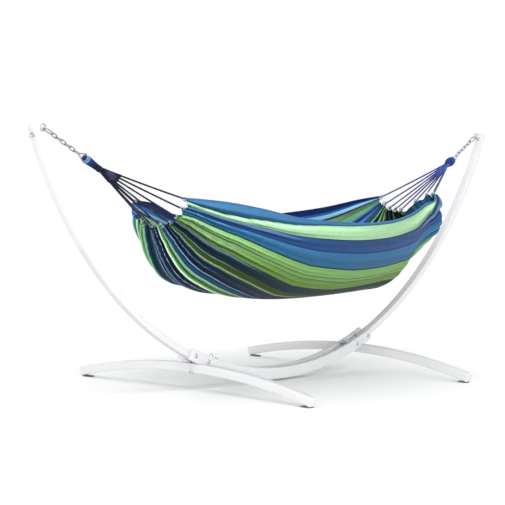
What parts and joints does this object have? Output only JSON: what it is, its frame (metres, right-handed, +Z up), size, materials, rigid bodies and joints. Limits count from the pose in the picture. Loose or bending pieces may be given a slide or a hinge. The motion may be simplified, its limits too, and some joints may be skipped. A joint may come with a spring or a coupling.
{
  "type": "hammock on stand",
  "caption": "Arched laminated-wood stand on two cross feet, holding a striped cloth hammock between chains, rings and fans of cord.",
  "frame": {"origin": "on the ground under the middle of the stand", "axes": "+X along the stand from the left arm to the right arm, +Y across it along the feet, +Z up"},
  "size_m": [3.326, 1.2, 1.091],
  "materials": {
    "painted_wood": "satin pale grey paint",
    "rubber": "matt",
    "fastener_steel": "zinc plated",
    "chain_steel": "zinc plated, dulled",
    "cord_cotton": "twisted cotton cord, indigo",
    "striped_cotton": "plain-woven striped cotton"
  },
  "bodies": {
    "stand": {"left_arm": "painted_wood", "right_arm": "painted_wood", "front_cheek": "painted_wood", "back_cheek": "painted_wood", "centre_spacer": "painted_wood", "left_foot": "painted_wood", "right_foot": "painted_wood", "left_front_pad": "rubber", "left_back_pad": "rubber", "right_front_pad": "rubber", "right_back_pad": "rubber", "left_inner_cross_bolt": "fastener_steel", "left_inner_cross_nut": "fastener_steel", "left_outer_cross_bolt": "fastener_steel", "left_outer_cross_nut": "fastener_steel", "right_inner_cross_bolt": "fastener_steel", "right_inner_cross_nut": "fastener_steel", "right_outer_cross_bolt": "fastener_steel", "right_outer_cross_nut": "fastener_steel", "left_tail_plate": "fastener_steel", "left_tail_bolt": "fastener_steel", "left_tail_nut": "fastener_steel", "left_foot_bolt": "fastener_steel", "left_foot_nut": "fastener_steel", "left_eye_bolt": "fastener_steel", "left_eye_washer": "fastener_steel", "left_eye_nut": "fastener_steel", "right_tail_plate": "fastener_steel", "right_tail_bolt": "fastener_steel", "right_tail_nut": "fastener_steel", "right_foot_bolt": "fastener_steel", "right_foot_nut": "fastener_steel", "right_eye_bolt": "fastener_steel", "right_eye_washer": "fastener_steel", "right_eye_nut": "fastener_steel"},
    "hammock": {"cloth_bed": "striped_cotton", "left_spring_hook": "chain_steel", "left_triangle_ring": "chain_steel", "left_cord_eye": "cord_cotton", "left_cord_fan": "cord_cotton", "right_spring_hook": "chain_steel", "right_triangle_ring": "chain_steel", "right_cord_eye": "cord_cotton", "right_cord_fan": "cord_cotton", "left_chain_link_1": "chain_steel", "left_chain_link_2": "chain_steel", "left_chain_link_3": "chain_steel", "left_chain_link_4": "chain_steel", "left_chain_link_5": "chain_steel", "left_chain_link_6": "chain_steel", "right_chain_link_1": "chain_steel", "right_chain_link_2": "chain_steel", "right_chain_link_3": "chain_steel", "right_chain_link_4": "chain_steel", "right_chain_link_5": "chain_steel"},
    "left_gate": {"left_hook_gate": "chain_steel"},
    "right_gate": {"right_hook_gate": "chain_steel"}
  },
  "joints": [
    {"name": "hammock_swing", "type": "hinge", "parent": "stand", "child": "hammock", "pos_m": [0, 0, 1.068], "axis": [1, 0, 0], "range_deg": [-40, 40]},
    {"name": "left_gate_hinge", "type": "hinge", "parent": "hammock", "child": "left_gate", "pos_m": [-1.56819, 0.012, 1.06435], "axis": [0.4258, 0, 0.9048], "range_deg": [-22, 0], "stiffness_Nm_per_rad": 0.05, "springref_deg": 22.92},
    {"name": "right_gate_hinge", "type": "hinge", "parent": "hammock", "child": "right_gate", "pos_m": [1.56883, 0.012, 1.06309], "axis": [-0.4787, 0, 0.878], "range_deg": [0, 22], "stiffness_Nm_per_rad": 0.05, "springref_deg": -22.92}
  ]
}
